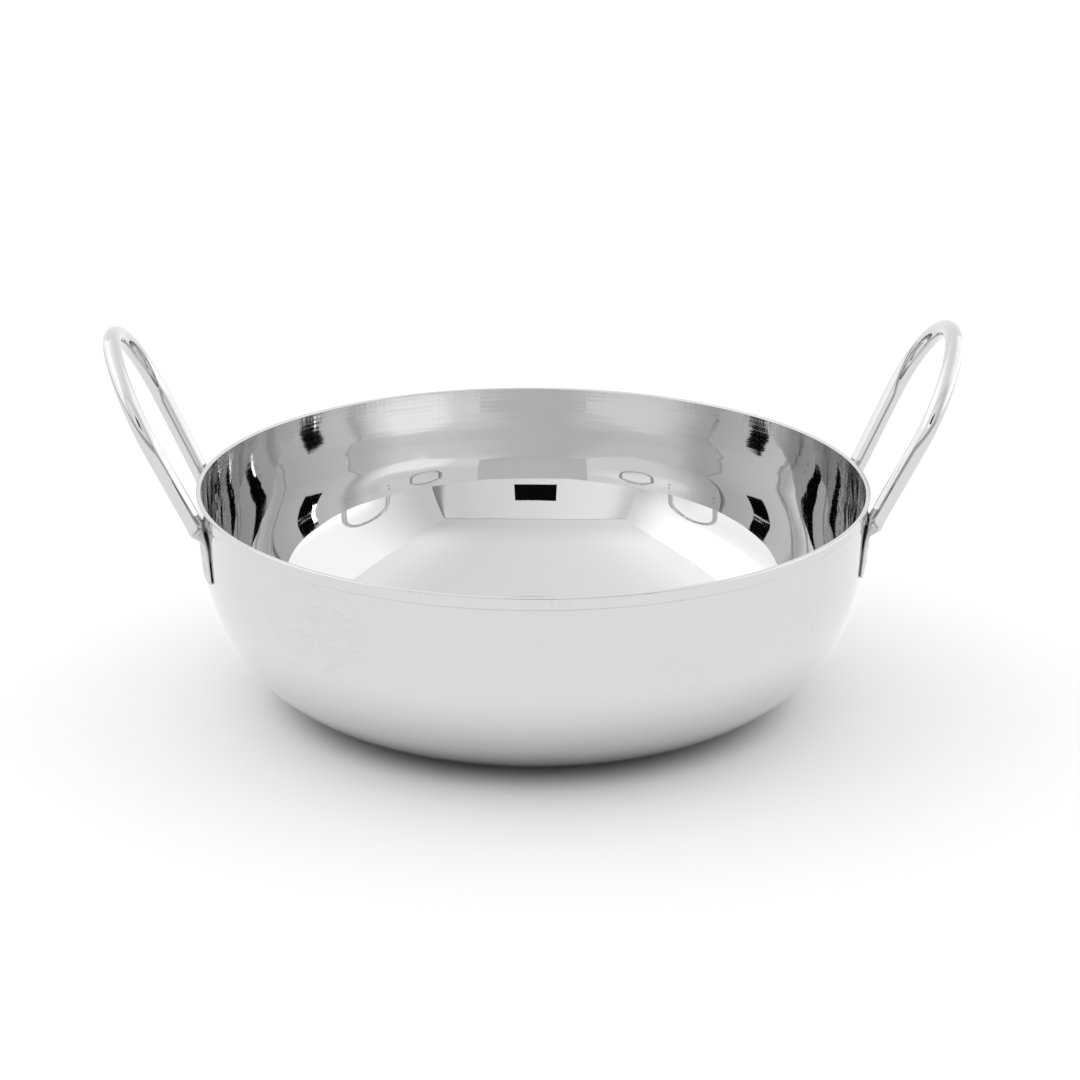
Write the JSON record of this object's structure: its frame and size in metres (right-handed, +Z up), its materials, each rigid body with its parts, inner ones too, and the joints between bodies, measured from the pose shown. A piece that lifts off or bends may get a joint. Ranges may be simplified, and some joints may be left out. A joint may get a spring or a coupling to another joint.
{
  "type": "balti dish",
  "caption": "Round deep-drawn steel serving dish with a flat base, a large corner curve, a plain band below the lip and leaning wire loop handles spot-welded to the wall.",
  "frame": {"origin": "centre of the flat underside of the bowl, where it stands", "axes": "+Z up out of the bowl's mouth, X through both handles with handle_right at +X, Y across the front, which is -Y"},
  "size_m": [0.1888, 0.15, 0.0853],
  "materials": {
    "bowl_steel": "mirror-polished stainless steel sheet",
    "handle_wire": "mirror-polished stainless steel wire",
    "weld_metal": "dull fused metal of the spot welds"
  },
  "bodies": {
    "root": {"bowl": "bowl_steel", "handle_left": "handle_wire", "handle_right": "handle_wire", "weld_left_front_upper": "weld_metal", "weld_left_front_lower": "weld_metal", "weld_left_rear_upper": "weld_metal", "weld_left_rear_lower": "weld_metal", "weld_right_front_upper": "weld_metal", "weld_right_front_lower": "weld_metal", "weld_right_rear_upper": "weld_metal", "weld_right_rear_lower": "weld_metal"}
  },
  "joints": []
}
